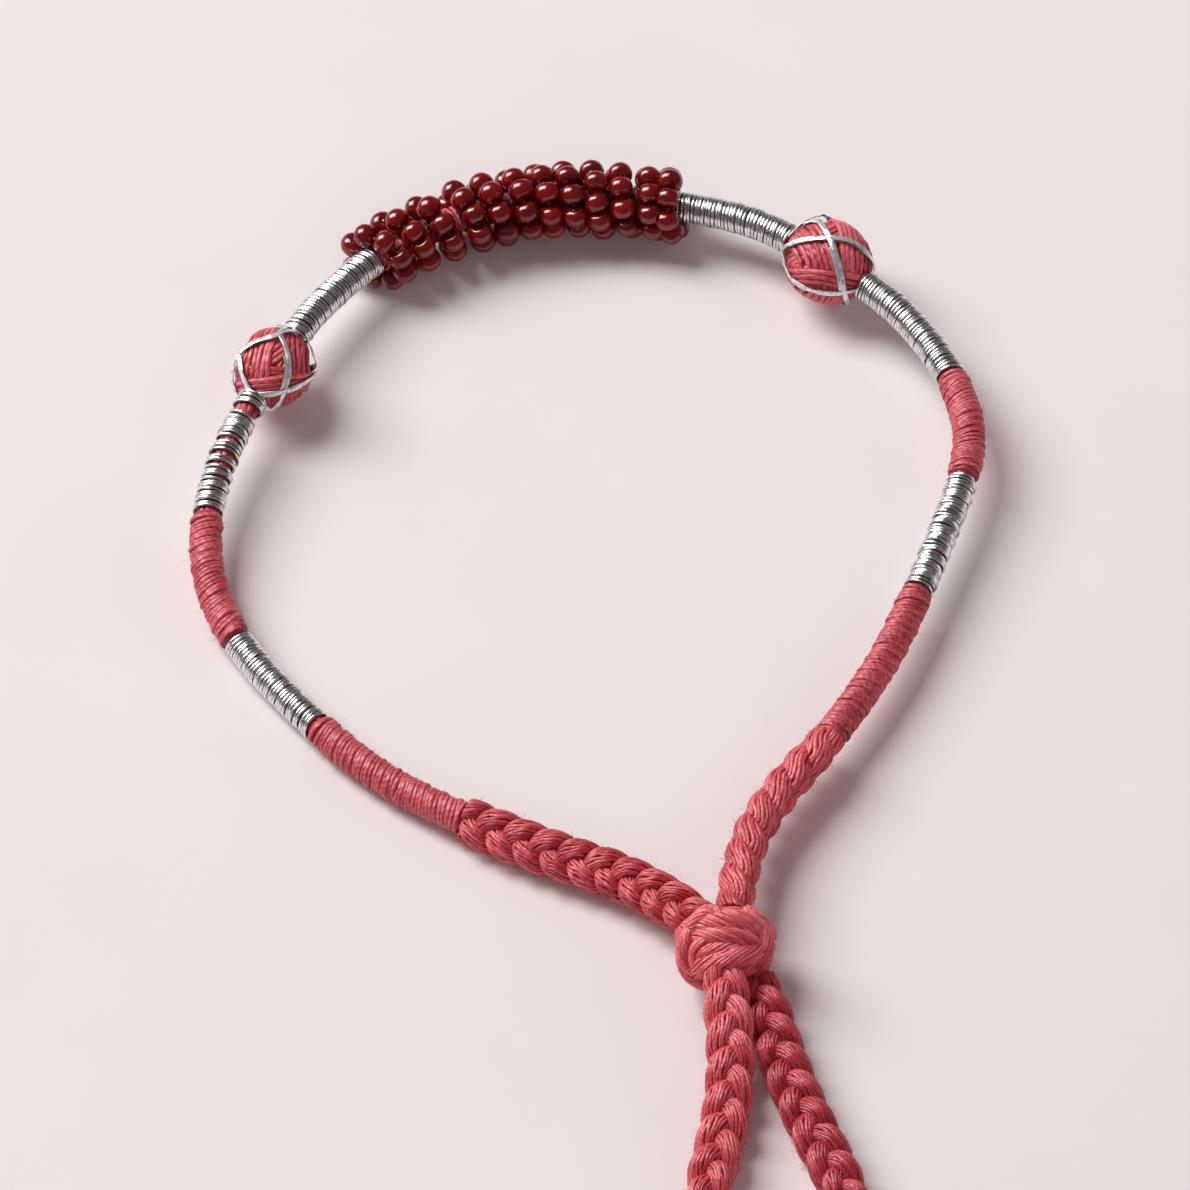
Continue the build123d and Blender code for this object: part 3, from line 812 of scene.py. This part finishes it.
# The turns of the knot: places to the right, up and towards the eye from its middle
# columns: places, radius, plies, twist in degrees a millimetre
KNOT_TURNS = [
    ([(-3.2, 0.8, -1.4), (-2.9, 1.4, 0.4), (-1.8, 2.1, 1.7), (0.0, 2.3, 2.25), (1.8, 2.1, 1.9),
      (3.1, 1.6, 0.7), (3.3, 1.2, -1.2)], 1.12, 20, -38.0),
    ([(-2.6, -0.9, 1.2), (-1.9, -0.35, 2.1), (-0.8, 0.1, 2.5), (0.6, 0.3, 2.55), (1.9, 0.3, 2.1),
      (2.9, 0.2, 0.9)], 0.8, 14, 36.0),
    ([(-3.0, 0.7, 0.0), (-2.5, 0.9, 1.5), (-1.3, 1.2, 2.4), (0.3, 1.2, 2.75), (1.9, 0.85, 2.3),
      (3.0, 0.5, 1.0), (3.2, 0.4, -0.8)], 0.86, 16, -34.0),
    ([(-2.4, -1.9, -0.4), (-2.5, -1.9, 1.0), (-1.5, -1.35, 2.2), (0.3, -0.75, 2.75),
      (1.9, -0.35, 2.3), (2.95, 0.0, 1.0), (3.2, 0.2, -0.8)], 1.05, 20, 26.0),
    ([(-2.0, -2.6, 0.2), (-1.5, -2.6, 1.5), (0.1, -2.35, 2.3), (1.7, -1.7, 2.0), (2.8, -1.2, 0.9),
      (3.1, -1.0, -0.6)], 0.66, 12, 40.0),
    ([(-1.9, 2.1, 1.4), (-2.9, 1.6, 1.7), (-3.5, 0.4, 1.7), (-3.55, -1.0, 1.5), (-3.05, -2.2, 1.3),
      (-2.0, -2.9, 1.1), (-0.5, -3.1, 1.3), (1.0, -2.8, 1.2)], 0.66, 12, 44.0),
    ([(-1.6, 0.8, 2.5), (-2.35, 0.4, 2.3), (-2.75, -0.5, 2.0), (-2.5, -1.6, 1.7)], 0.5, 9, 10.0),
    ([(1.7, 2.9, 0.3), (2.6, 2.3, 1.1), (3.2, 1.0, 1.5), (3.25, -0.4, 1.4), (2.8, -1.7, 0.9),
      (2.2, -2.8, -0.6)], 0.86, 16, -34.0),
    ([(-2.9, 1.4, 1.5), (-2.3, 2.6, 2.0), (-1.3, 3.15, 2.0), (-0.5, 2.8, 2.2), (0.1, 1.9, 2.5)],
     0.72, 12, -44.0),
    ([(-2.9, 1.4, 0.5), (-1.9, 2.2, 0.2), (0.0, 2.6, 0.1), (1.9, 2.4, 0.2), (2.9, 1.4, 0.3)],
     0.98, 18, 36.0),
    ([(-2.4, 1.5, -0.6), (-1.5, 2.2, -0.9), (0.0, 2.3, -1.0), (1.5, 2.2, -0.9), (2.4, 1.5, -0.7)],
     0.9, 16, -36.0),
    ([(-2.5, -1.6, 0.2), (-2.5, -1.6, -1.2), (-1.0, -1.3, -2.1), (1.4, -1.0, -2.0),
      (2.6, -0.9, -1.0), (2.7, -0.9, 0.2)], 1.15, 20, 12.0),
    ([(-2.6, 1.2, 0.2), (-2.5, 1.3, -1.2), (-1.0, 1.4, -2.0), (1.3, 1.3, -1.9), (2.6, 1.1, -1.0),
      (2.7, 1.0, 0.2)], 1.15, 20, 12.0),
]


def make_knot(chance):
    """The turns of braid that tie the two arms together."""
    threads = Threads()
    for marks, radius, plies, twist in KNOT_TURNS:
        turn = smooth_path([KNOT_CENTRE + in_view(*mark) for mark in marks])
        places = turn.at(np.linspace(0, turn.length, int(turn.length / KNOT_STEP)))
        along = headings(places)
        across = unit(np.cross(along, places - KNOT_CENTRE))
        over = np.cross(across, along)
        add_bundle(threads, places, across, over, radius, radius, plies, twist, chance)
    fibres = Threads(FIBRE_SIDES)
    fibres.add_fibres(threads, KNOT_FIBRES, chance)
    fibres.piece("knot_fibres", "braid_thread")
    # The imported thread inside, seen only deep between the turns, darkened there as painted shade
    wide, high, deep = KNOT_CORE_SIZE
    latitude = np.linspace(-KNOT_CORE_LATITUDE, KNOT_CORE_LATITUDE, KNOT_CORE_RINGS)[:, None]
    longitude = 2 * pi * np.arange(KNOT_CORE_SIDES) / KNOT_CORE_SIDES
    rings = KNOT_CENTRE + in_view(
        wide * np.cos(latitude) * np.cos(longitude),
        high * np.cos(latitude) * np.sin(longitude),
        deep * np.sin(latitude) * np.ones_like(longitude),
    )
    core = Threads()
    core.add_rings(rings, FILLER_PAINTED_SHADE)
    core.piece("knot_core", "braid_thread")
    threads.piece("knot_turns", "braid_thread", ["knot"])


def make_whipping(name, path, lay, chance):
    """Thread wound round a tail's end, on past the ends of its strands."""
    threads = Threads(sides=8)
    radius = PINK_PITCH * WHIPPING_THREAD_SHARE
    half_width = lay.end_size * BRAID_WIDTH / 2
    half_height = lay.end_size * BRAID_THICKNESS / 2
    turns = int(path.length / PINK_PITCH) - 1
    angle = np.linspace(0, 2 * pi * turns, turns * WHIPPING_TURN_STEPS)
    distance = WHIPPING_MARGIN + (path.length - 2 * WHIPPING_MARGIN) * angle / angle[-1]
    places, _, across, over = path.frames(distance, lay.end_roll)
    spoke = spokes_at(angle, across, over, half_width - radius, half_height - radius)
    swell = 1 + wobble(angle, *WHIPPING_SWELL, chance)
    threads.add(places + spoke, radius * swell, unit(spoke), WHIPPING_FLATNESS)
    # The ends of the strands
    distance = np.linspace(STUB_MARGIN, path.length - STUB_MARGIN, STUB_STEPS)
    places, _, across, over = path.frames(distance, lay.end_roll)
    inset = STUB_DEPTH * radius
    add_bundle(threads, places, across, over, half_width - inset, half_height - inset,
               STUB_PLIES, 0.0, chance)
    threads.piece(f"{name}_turns", "braid_thread", [name])


def add_node(tree, kind, inputs=None, **settings):
    """Adds a node, with its settings and with values or links on its inputs."""
    node = tree.nodes.new(kind)
    for name, value in settings.items():
        setattr(node, name, value)
    for name, value in (inputs or {}).items():
        if isinstance(value, bpy.types.NodeSocket):
            tree.links.new(value, node.inputs[name])
        else:
            node.inputs[name].default_value = value
    return node


def calculate(tree, operation, first, second=0.0):
    """One step of sums between two values."""
    return add_node(tree, "ShaderNodeMath", {0: first, 1: second}, operation=operation).outputs[0]


def total(tree, first, *others):
    """The sum of several values."""
    for other in others:
        first = calculate(tree, "ADD", first, other)
    return first


def product(tree, first, second):
    """The product of two values."""
    return calculate(tree, "MULTIPLY", first, second)


def stretch_range(tree, value, start, end, new_start, new_end):
    """A value whose range from start to end becomes another one, and ends there."""
    return add_node(tree, "ShaderNodeMapRange", {
        "Value": value, "From Min": start, "From Max": end, "To Min": new_start, "To Max": new_end,
    }).outputs[0]


def thread_shade(tree):
    """A thread's own random tone, from -1 to 1, lowered where shade is painted, as deep in the
    creases.
    """
    return add_node(tree, "ShaderNodeAttribute", attribute_name="shade").outputs["Fac"]


def along_and_round(tree):
    """Places along a thread in millimetres, and round it in turns."""
    places = add_node(tree, "ShaderNodeUVMap", uv_map="thread").outputs["UV"]
    split = add_node(tree, "ShaderNodeSeparateXYZ", {"Vector": places})
    return split.outputs["X"], split.outputs["Y"]


def thread_tops(tree, around):
    """A wave that is 1 on a thread's outer side and 0 or less where it meets the next."""
    return calculate(tree, "SINE", product(tree, around, 2 * pi))


def noise(tree, vector, scale, detail):
    """Noise at places given as a vector."""
    inputs = {"Vector": vector, "Scale": scale, "Detail": detail}
    return add_node(tree, "ShaderNodeTexNoise", inputs).outputs[0]


def object_noise(tree, scale, detail):
    """Noise at the object's own places, so many waves to a metre."""
    return noise(tree, add_node(tree, "ShaderNodeTexCoord").outputs["Object"], scale, detail)


def stretched_noise(tree, along, around, along_scale, around_scale, detail):
    """Noise drawn out along a thread."""
    vector = add_node(tree, "ShaderNodeCombineXYZ", {
        "X": product(tree, along, along_scale),
        "Y": product(tree, around, around_scale),
        "Z": thread_shade(tree),
    }).outputs[0]
    return noise(tree, vector, 1.0, detail)


def add_ramp(tree, value, *stops):
    """A colour that runs through stops, each a value and a colour."""
    ramp = add_node(tree, "ShaderNodeValToRGB", {"Fac": value})
    elements = ramp.color_ramp.elements
    for _ in stops[2:]:
        elements.new(0.5)
    for element, (position, colour) in zip(elements, stops):
        element.position = position
        element.color = (*colour, 1.0)
    return ramp.outputs["Color"]


materials = {}


def new_material(name, values):
    """Keeps a new material with these values on its shader."""
    material = materials[name] = bpy.data.materials.new(name)
    material.use_nodes = True
    shader = material.node_tree.nodes["Principled BSDF"]
    for key, value in values.items():
        shader.inputs[key].default_value = value
    return material.node_tree, shader


def dress(tree, shader, colour, height=None, strength=0.0, distance=BUMP_DISTANCE):
    """Links a colour, and a bump where there is a height, to a shader."""
    tree.links.new(colour, shader.inputs["Base Color"])
    if height is not None:
        inputs = {"Height": height, "Strength": strength, "Distance": distance}
        bump = add_node(tree, "ShaderNodeBump", inputs)
        tree.links.new(bump.outputs["Normal"], shader.inputs["Normal"])


def make_thread_look(name, dark, middle, light, twist_pitch, twist_height, painted_twist_shading):
    """Soft pink thread: streaks along its fibres, a faint twist painted light and dark, painted
    shade where threads meet, and a sheen.
    """
    tree, shader = new_material(name, {
        "Roughness": 0.46,
        "Specular IOR Level": 0.6,
        "Sheen Weight": 0.12,
        "Sheen Roughness": 0.4,
        "Sheen Tint": (1.0, 0.7, 0.74, 1.0),
        "Subsurface Weight": 0.12,
        "Subsurface Scale": 0.0005,
    })
    along, around = along_and_round(tree)
    streaks = stretched_noise(tree, along, around, 1.6, 9.0, 4.0)
    turns = total(tree, product(tree, along, 1 / twist_pitch), around)
    twist = calculate(tree, "SINE", product(tree, turns, 4 * pi))
    tone = total(
        tree,
        product(tree, thread_shade(tree), SHADE_WEIGHT),
        streaks,
        product(tree, object_noise(tree, 330.0, 2.0), PATCH_WEIGHT),
        # The twist painted lighter on its ridges and darker in its grooves: painted light and
        # shade
        product(tree, twist, painted_twist_shading),
        # Painted shade: each thread is lighter on top and darkened where it meets the next
        stretch_range(tree, thread_tops(tree, around), 0.0, 0.85, -0.55, -0.2),
    )
    colour = add_ramp(tree, tone, (0.22, dark), (0.5, middle), (0.8, light))
    height = total(tree, product(tree, twist, twist_height), streaks)
    dress(tree, shader, colour, height, strength=0.9)


def make_silver_look(name, metallic, painted_crease_shade, roughest):
    """Flat metallic thread, bright and slightly creased, with painted shade where each turn meets
    the next.
    """
    tree, shader = new_material(name, {"Metallic": metallic})
    along, around = along_and_round(tree)
    creases = stretched_noise(tree, along, around, 2.4, 3.0, 3.0)
    bright = add_ramp(tree, creases, (0.3, (0.60, 0.61, 0.63)), (0.6, (0.92, 0.94, 0.95)))
    # Painted shade: each turn is bright on top and darkened where it meets the next
    painted_turn_shade = stretch_range(tree, thread_tops(tree, around), 0.2, 0.7, painted_crease_shade, 1.0)
    colour = add_node(tree, "ShaderNodeVectorMath", {"Vector": bright, "Scale": painted_turn_shade},
                      operation="SCALE").outputs["Vector"]
    roughness = stretch_range(tree, creases, 0.0, 1.0, 0.14, roughest)
    tree.links.new(roughness, shader.inputs["Roughness"])
    dress(tree, shader, colour, creases, strength=0.5)


def make_bead_look():
    """Dark red glossy glass."""
    tree, shader = new_material("seed_bead_glass", {
        "Roughness": 0.1,
        "IOR": 1.52,
        "Specular IOR Level": 0.6,
        "Coat Weight": 0.1,
        "Coat Roughness": 0.05,
        "Subsurface Weight": 0.25,
        "Subsurface Radius": (1.0, 0.06, 0.04),
        "Subsurface Scale": 0.0009,
    })
    clouds = object_noise(tree, 900.0, 2.0)
    tone = total(tree, product(tree, thread_shade(tree), 0.2), clouds)
    colour = add_ramp(tree, tone, (0.2, (0.11, 0.0008, 0.0015)), (0.85, (0.27, 0.002, 0.004)))
    dress(tree, shader, colour, clouds, strength=0.08, distance=0.0001)


def make_floor():
    """A plain pale floor under the bracelet."""
    tree, shader = new_material(
        "pale_floor", {"Roughness": 0.75, "Specular IOR Level": 0.2})
    grain = object_noise(tree, 60.0, 6.0)
    colour = add_ramp(tree, grain, (0.0, (0.80, 0.732, 0.728)), (1.0, (0.85, 0.778, 0.774)))
    dress(tree, shader, colour)
    half = FLOOR_HALF_SIZE * MM
    mesh = bpy.data.meshes.new("floor")
    corners = [(-half, -half, 0), (half, -half, 0), (half, half, 0), (-half, half, 0)]
    mesh.from_pydata(corners, [], [(0, 1, 2, 3)])
    mesh.materials.append(materials["pale_floor"])
    add_object("floor", mesh)


def make_light():
    """The lights, which face the bracelet, and the dim room round them."""
    for name, direction, distance, width, height, turn, energy, colour, glossy, matt in LIGHTS:
        light = bpy.data.lights.new(name, "AREA")
        light.shape = "RECTANGLE"
        light.size = width
        light.size_y = height
        light.energy = energy
        light.color = colour
        lamp = add_object(name, light)
        lamp.visible_glossy = glossy
        lamp.visible_diffuse = matt
        outward = unit(np.array(direction))
        lamp.location = outward * distance
        lamp.rotation_mode = "QUATERNION"
        facing = Vector((-outward).tolist()).to_track_quat("-Z", "Y")
        lamp.rotation_quaternion = facing @ Quaternion((0.0, 0.0, 1.0), radians(turn))
    world = bpy.data.worlds.new("room")
    world.use_nodes = True
    background = world.node_tree.nodes["Background"]
    background.inputs["Color"].default_value = ROOM_COLOUR
    background.inputs["Strength"].default_value = ROOM_STRENGTH
    bpy.context.scene.world = world
    bpy.context.scene.view_settings.view_transform = "Standard"


def make_camera():
    """A camera at the photo's angle."""
    camera = bpy.data.cameras.new("camera")
    camera.lens = camera.sensor_width * VIEW_DISTANCE / VIEW_WIDTH
    camera.clip_end = CLIP_END
    eye = add_object("camera", camera)
    eye.location = (VIEW_TARGET + VIEW_TOWARD * VIEW_DISTANCE) * MM
    eye.rotation_euler = (radians(90 - VIEW_ELEVATION), 0.0, 0.0)
    bpy.context.scene.camera = eye


# Threads' colours, dark, middle and light; the twist's pitch in millimetres, its height
# and how strongly the twist is painted as light ridges and shaded grooves in the colour
make_thread_look("braid_thread", (0.42, 0.024, 0.037), (0.71, 0.084, 0.108), (0.90, 0.21, 0.24),
                 0.9, 0.1, 0.04)
make_thread_look("wrap_thread", (0.33, 0.020, 0.031), (0.54, 0.058, 0.076), (0.78, 0.17, 0.20),
                 1.1, 0.15, 0.07)
make_thread_look("ball_thread", (0.36, 0.024, 0.036), (0.62, 0.072, 0.094), (0.84, 0.18, 0.205),
                 1.6, 0.12, 0.05)
# Very dark red: painted shade between the beads
make_thread_look("bead_string", (0.06, 0.002, 0.004), (0.14, 0.005, 0.009), (0.24, 0.02, 0.028),
                 0.8, 0.3, 0.0)
make_silver_look("silver_thread", metallic=1.0, painted_crease_shade=0.3, roughest=0.34)
make_silver_look("silver_strip", metallic=0.7, painted_crease_shade=0.2, roughest=0.5)
make_bead_look()

make_camera()
make_light()
make_floor()

wound_makers = {"silver": make_silver_wrap, "pink": make_pink_wrap, "ball": make_ball}
loop = smooth_path(LOOP_ROUTE)
scale = loop.length / LOOP_LENGTH
reached = 0.0
arms = []
for order, (name, kind, length) in enumerate(STRETCHES):
    start = reached * scale
    end = loop.length if length is None else (reached + length) * scale
    if kind == "braid":
        make_braid(name, loop.part(start, end), SEEDS[kind] + BRAID_SEED_STEP * order)
        arms.append((start, end))
    elif kind == "beads":
        make_beads(loop, start, end, np.random.default_rng(SEEDS[kind]))
    else:
        stretch = loop.part(start + END_GAP / 2, end - END_GAP / 2)
        wound_makers[kind](name, stretch, np.random.default_rng(SEEDS[kind] + order))
    reached = end / scale
(_, core_start), (core_end, _) = arms
make_core(loop.part(core_start, core_end), np.random.default_rng(SEEDS["core"]))

for side, route in (("left", LEFT_TAIL_ROUTE), ("right", RIGHT_TAIL_ROUTE)):
    tail = smooth_path(route)
    name = f"{side}_tail_strand"
    seed = SEEDS[f"{side}_tail"]
    braid_end = tail.length - WHIPPING_LENGTH
    make_braid(name, tail.part(0.0, braid_end - END_GAP), seed)
    make_whipping(f"{side}_tail_whipping", tail.part(braid_end, tail.length), BRAID_LAY[name],
                  np.random.default_rng(seed + WHIPPING_SEED_STEP))
make_knot(np.random.default_rng(SEEDS["knot"]))
